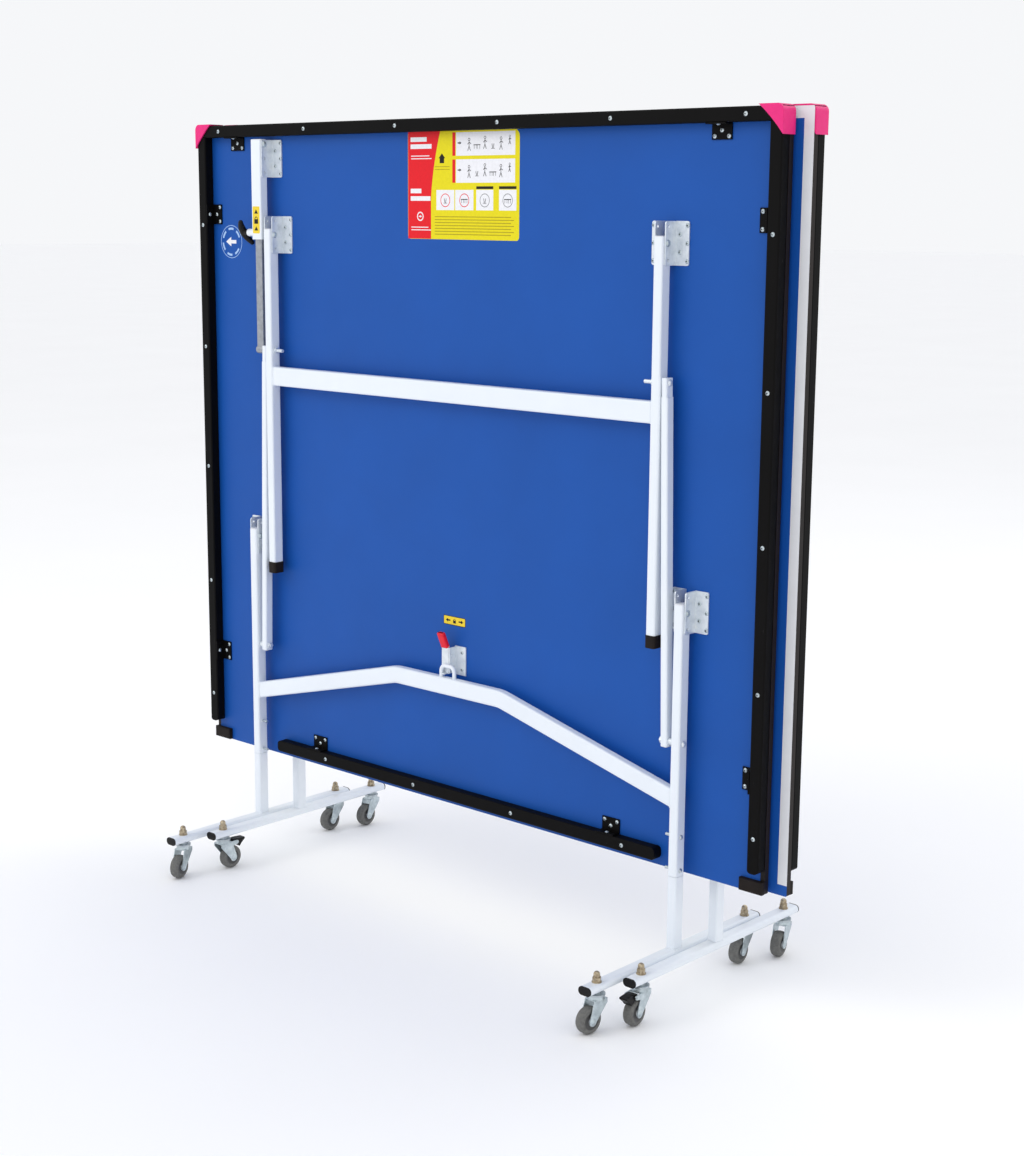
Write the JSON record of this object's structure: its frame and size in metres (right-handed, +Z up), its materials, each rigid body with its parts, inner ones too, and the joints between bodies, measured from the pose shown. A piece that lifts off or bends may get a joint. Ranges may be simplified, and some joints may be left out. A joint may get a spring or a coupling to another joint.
{
  "type": "folding ping pong table",
  "caption": "Two-piece rollaway ping pong table shown folded upright: blue tops back to back on white wheeled frames, with fold-out legs, lock struts and pink corner guards.",
  "frame": {"origin": "on the floor, under the middle of the folded table's bounding box", "axes": "+X along the baseline towards the right of someone facing the near half's underside, +Y from the near half to the far half, +Z up"},
  "size_m": [1.565, 0.6061, 1.603],
  "materials": {
    "blue_board": "satin blue paint on board, dark edges",
    "black_apron": "satin black powder coat",
    "white_frame": "gloss white powder coat",
    "zinc_steel": "bright zinc plate",
    "black_plastic": "moulded matt black",
    "black_rubber": "moulded matt rubber",
    "pink_plastic": "glossy hot pink moulding",
    "red_plastic": "glossy red moulding",
    "grey_tyre": "matt grey tread"
  },
  "bodies": {
    "near_trolley": {"near_foot_rails": "white_frame", "near_rail_end_caps": "black_plastic", "near_posts": "white_frame", "near_cross_tube": "white_frame", "near_trolley_bolts": "zinc_steel"},
    "near_top": {"near_tabletop": "blue_board", "near_apron_rails": "black_apron", "near_apron_plates": "black_apron", "near_corner_guards": "pink_plastic", "near_net_corner_blocks": "black_rubber", "near_board_brackets": "zinc_steel", "near_top_fasteners": "zinc_steel"},
    "near_legs": {"near_leg_frame": "white_frame", "near_leg_feet": "black_rubber"},
    "near_links": {"near_link_bars": "white_frame", "near_link_bolts": "zinc_steel"},
    "near_strut_upper": {"near_strut_tube": "white_frame"},
    "near_strut_lower": {"near_strut_rod": "zinc_steel"},
    "near_strut_plunger": {"near_strut_handle": "black_plastic"},
    "near_latch": {"near_latch_lever": "zinc_steel"},
    "near_left_outer_castor": {"near_left_outer_castor_fork": "zinc_steel"},
    "near_left_outer_wheel": {"near_left_outer_castor_wheel": "grey_tyre"},
    "near_right_outer_castor": {"near_right_outer_castor_fork": "zinc_steel"},
    "near_right_outer_wheel": {"near_right_outer_castor_wheel": "grey_tyre"},
    "near_left_inner_castor": {"near_left_inner_castor_fork": "zinc_steel"},
    "near_left_inner_wheel": {"near_left_inner_castor_wheel": "grey_tyre"},
    "near_right_inner_castor": {"near_right_inner_castor_fork": "zinc_steel"},
    "near_right_inner_wheel": {"near_right_inner_castor_wheel": "grey_tyre"},
    "far_trolley": {"far_foot_rails": "white_frame", "far_rail_end_caps": "black_plastic", "far_posts": "white_frame", "far_cross_tube": "white_frame", "far_trolley_bolts": "zinc_steel"},
    "far_top": {"far_tabletop": "blue_board", "far_apron_rails": "black_apron", "far_apron_plates": "black_apron", "far_corner_guards": "pink_plastic", "far_net_corner_blocks": "black_rubber", "far_board_brackets": "zinc_steel", "far_top_fasteners": "zinc_steel"},
    "far_legs": {"far_leg_frame": "white_frame", "far_leg_feet": "black_rubber"},
    "far_links": {"far_link_bars": "white_frame", "far_link_bolts": "zinc_steel"},
    "far_strut_upper": {"far_strut_tube": "white_frame"},
    "far_strut_lower": {"far_strut_rod": "zinc_steel"},
    "far_strut_plunger": {"far_strut_handle": "black_plastic"},
    "far_latch": {"far_latch_lever": "zinc_steel"},
    "far_left_inner_castor": {"far_left_inner_castor_fork": "zinc_steel"},
    "far_left_inner_wheel": {"far_left_inner_castor_wheel": "grey_tyre"},
    "far_left_inner_pedal": {"far_left_inner_castor_pedal": "black_plastic"},
    "far_right_inner_castor": {"far_right_inner_castor_fork": "zinc_steel"},
    "far_right_inner_wheel": {"far_right_inner_castor_wheel": "grey_tyre"},
    "far_right_inner_pedal": {"far_right_inner_castor_pedal": "black_plastic"},
    "far_left_outer_castor": {"far_left_outer_castor_fork": "zinc_steel"},
    "far_left_outer_wheel": {"far_left_outer_castor_wheel": "grey_tyre"},
    "far_right_outer_castor": {"far_right_outer_castor_fork": "zinc_steel"},
    "far_right_outer_wheel": {"far_right_outer_castor_wheel": "grey_tyre"}
  },
  "joints": [
    {"name": "near_fold", "type": "hinge", "parent": "near_trolley", "child": "near_top", "pos_m": [-0.017, -0.0361, 0.723], "axis": [1, 0, 0], "range_deg": [0, 90]},
    {"name": "near_leg_fold", "type": "hinge", "parent": "near_top", "child": "near_legs", "pos_m": [-0.017, -0.0361, 1.372], "axis": [1, 0, 0], "range_deg": [-90, 0]},
    {"name": "near_link_swing", "type": "hinge", "parent": "near_trolley", "child": "near_links", "pos_m": [-0.017, -0.0361, 0.481], "axis": [1, 0, 0], "range_deg": [0, 90]},
    {"name": "near_strut_upper_swing", "type": "hinge", "parent": "near_top", "child": "near_strut_upper", "pos_m": [-0.017, -0.0361, 1.558], "axis": [1, 0, 0], "range_deg": [-52.5, 0]},
    {"name": "near_strut_lower_swing", "type": "hinge", "parent": "near_legs", "child": "near_strut_lower", "pos_m": [-0.017, -0.0361, 1.13], "axis": [1, 0, 0], "range_deg": [0, 38.5]},
    {"name": "near_plunger_pull", "type": "slide", "parent": "near_strut_upper", "child": "near_strut_plunger", "axis": [-1, 0, 0], "range_m": [0, 0.008], "stiffness_N_per_m": 400, "springref_m": -0.004},
    {"name": "near_latch_flip", "type": "hinge", "parent": "near_top", "child": "near_latch", "pos_m": [-0.025, -0.0238, 0.545], "axis": [1, 0, 0], "range_deg": [0, 20], "stiffness_Nm_per_rad": 0.15, "springref_deg": -17.19},
    {"name": "near_left_outer_swivel", "type": "hinge", "parent": "near_trolley", "child": "near_left_outer_castor", "pos_m": [-0.601, -0.2589, 0.068], "axis": [0, 0, 1], "continuous": true},
    {"name": "near_left_outer_wheel_roll", "type": "hinge", "parent": "near_left_outer_castor", "child": "near_left_outer_wheel", "pos_m": [-0.5945, -0.27675, 0.025], "axis": [0.9397, 0.342, 0], "continuous": true},
    {"name": "near_right_outer_swivel", "type": "hinge", "parent": "near_trolley", "child": "near_right_outer_castor", "pos_m": [0.567, -0.2589, 0.068], "axis": [0, 0, 1], "continuous": true},
    {"name": "near_right_outer_wheel_roll", "type": "hinge", "parent": "near_right_outer_castor", "child": "near_right_outer_wheel", "pos_m": [0.56468, -0.27776, 0.025], "axis": [0.9925, -0.1219, 0], "continuous": true},
    {"name": "near_left_inner_swivel", "type": "hinge", "parent": "near_trolley", "child": "near_left_inner_castor", "pos_m": [-0.601, 0.1867, 0.068], "axis": [0, 0, 1], "continuous": true},
    {"name": "near_left_inner_wheel_roll", "type": "hinge", "parent": "near_left_inner_castor", "child": "near_left_inner_wheel", "pos_m": [-0.60034, 0.16771, 0.025], "axis": [0.9994, 0.0349, 0], "continuous": true},
    {"name": "near_right_inner_swivel", "type": "hinge", "parent": "near_trolley", "child": "near_right_inner_castor", "pos_m": [0.567, 0.1867, 0.068], "axis": [0, 0, 1], "continuous": true},
    {"name": "near_right_inner_wheel_roll", "type": "hinge", "parent": "near_right_inner_castor", "child": "near_right_inner_wheel", "pos_m": [0.56866, 0.16777, 0.025], "axis": [0.9962, 0.0872, 0], "continuous": true},
    {"name": "far_roll_away", "type": "slide", "parent": "near_trolley", "child": "far_trolley", "axis": [0, 1, 0], "range_m": [0, 1.5]},
    {"name": "far_fold", "type": "hinge", "parent": "far_trolley", "child": "far_top", "pos_m": [0.017, 0.0465, 0.723], "axis": [-1, 0, 0], "range_deg": [0, 90]},
    {"name": "far_leg_fold", "type": "hinge", "parent": "far_top", "child": "far_legs", "pos_m": [0.017, 0.0465, 1.372], "axis": [-1, 0, 0], "range_deg": [-90, 0]},
    {"name": "far_link_swing", "type": "hinge", "parent": "far_trolley", "child": "far_links", "pos_m": [0.017, 0.0465, 0.481], "axis": [-1, 0, 0], "range_deg": [0, 90]},
    {"name": "far_strut_upper_swing", "type": "hinge", "parent": "far_top", "child": "far_strut_upper", "pos_m": [0.017, 0.0465, 1.558], "axis": [-1, 0, 0], "range_deg": [-52.5, 0]},
    {"name": "far_strut_lower_swing", "type": "hinge", "parent": "far_legs", "child": "far_strut_lower", "pos_m": [0.017, 0.0465, 1.13], "axis": [-1, 0, 0], "range_deg": [0, 38.5]},
    {"name": "far_plunger_pull", "type": "slide", "parent": "far_strut_upper", "child": "far_strut_plunger", "axis": [1, 0, 0], "range_m": [0, 0.008], "stiffness_N_per_m": 400, "springref_m": -0.004},
    {"name": "far_latch_flip", "type": "hinge", "parent": "far_top", "child": "far_latch", "pos_m": [0.025, 0.0342, 0.545], "axis": [-1, 0, 0], "range_deg": [0, 20], "stiffness_Nm_per_rad": 0.15, "springref_deg": -17.19},
    {"name": "far_left_inner_swivel", "type": "hinge", "parent": "far_trolley", "child": "far_left_inner_castor", "pos_m": [-0.567, -0.1763, 0.068], "axis": [0, 0, 1], "continuous": true},
    {"name": "far_left_inner_wheel_roll", "type": "hinge", "parent": "far_left_inner_castor", "child": "far_left_inner_wheel", "pos_m": [-0.56733, -0.1573, 0.025], "axis": [-0.9998, -0.0175, 0], "continuous": true},
    {"name": "far_left_inner_brake_press", "type": "hinge", "parent": "far_left_inner_castor", "child": "far_left_inner_pedal", "pos_m": [-0.56751, -0.1473, 0.058], "axis": [-0.9998, -0.0175, 0], "range_deg": [0, 10]},
    {"name": "far_right_inner_swivel", "type": "hinge", "parent": "far_trolley", "child": "far_right_inner_castor", "pos_m": [0.601, -0.1763, 0.068], "axis": [0, 0, 1], "continuous": true},
    {"name": "far_right_inner_wheel_roll", "type": "hinge", "parent": "far_right_inner_castor", "child": "far_right_inner_wheel", "pos_m": [0.60232, -0.19525, 0.025], "axis": [0.9976, 0.0698, 0], "continuous": true},
    {"name": "far_right_inner_brake_press", "type": "hinge", "parent": "far_right_inner_castor", "child": "far_right_inner_pedal", "pos_m": [0.60302, -0.20523, 0.058], "axis": [0.9976, 0.0698, 0], "range_deg": [0, 10]},
    {"name": "far_left_outer_swivel", "type": "hinge", "parent": "far_trolley", "child": "far_left_outer_castor", "pos_m": [-0.567, 0.2693, 0.068], "axis": [0, 0, 1], "continuous": true},
    {"name": "far_left_outer_wheel_roll", "type": "hinge", "parent": "far_left_outer_castor", "child": "far_left_outer_wheel", "pos_m": [-0.56568, 0.25035, 0.025], "axis": [0.9976, 0.0698, 0], "continuous": true},
    {"name": "far_right_outer_swivel", "type": "hinge", "parent": "far_trolley", "child": "far_right_outer_castor", "pos_m": [0.601, 0.2693, 0.068], "axis": [0, 0, 1], "continuous": true},
    {"name": "far_right_outer_wheel_roll", "type": "hinge", "parent": "far_right_outer_castor", "child": "far_right_outer_wheel", "pos_m": [0.60527, 0.25079, 0.025], "axis": [0.9744, 0.225, 0], "continuous": true}
  ],
  "couplings": [
    {"joint": "near_leg_fold", "follows": "near_fold", "ratio": -1},
    {"joint": "near_link_swing", "follows": "near_fold", "ratio": 1},
    {"joint": "near_strut_upper_swing", "follows": "near_fold", "ratio": -0.5775},
    {"joint": "near_strut_lower_swing", "follows": "near_fold", "ratio": 0.4225},
    {"joint": "far_roll_away", "follows": "near_fold", "m_per_rad": 0.9549},
    {"joint": "far_fold", "follows": "near_fold", "ratio": 1},
    {"joint": "far_leg_fold", "follows": "near_fold", "ratio": -1},
    {"joint": "far_link_swing", "follows": "near_fold", "ratio": 1},
    {"joint": "far_strut_upper_swing", "follows": "near_fold", "ratio": -0.5775},
    {"joint": "far_strut_lower_swing", "follows": "near_fold", "ratio": 0.4225}
  ]
}
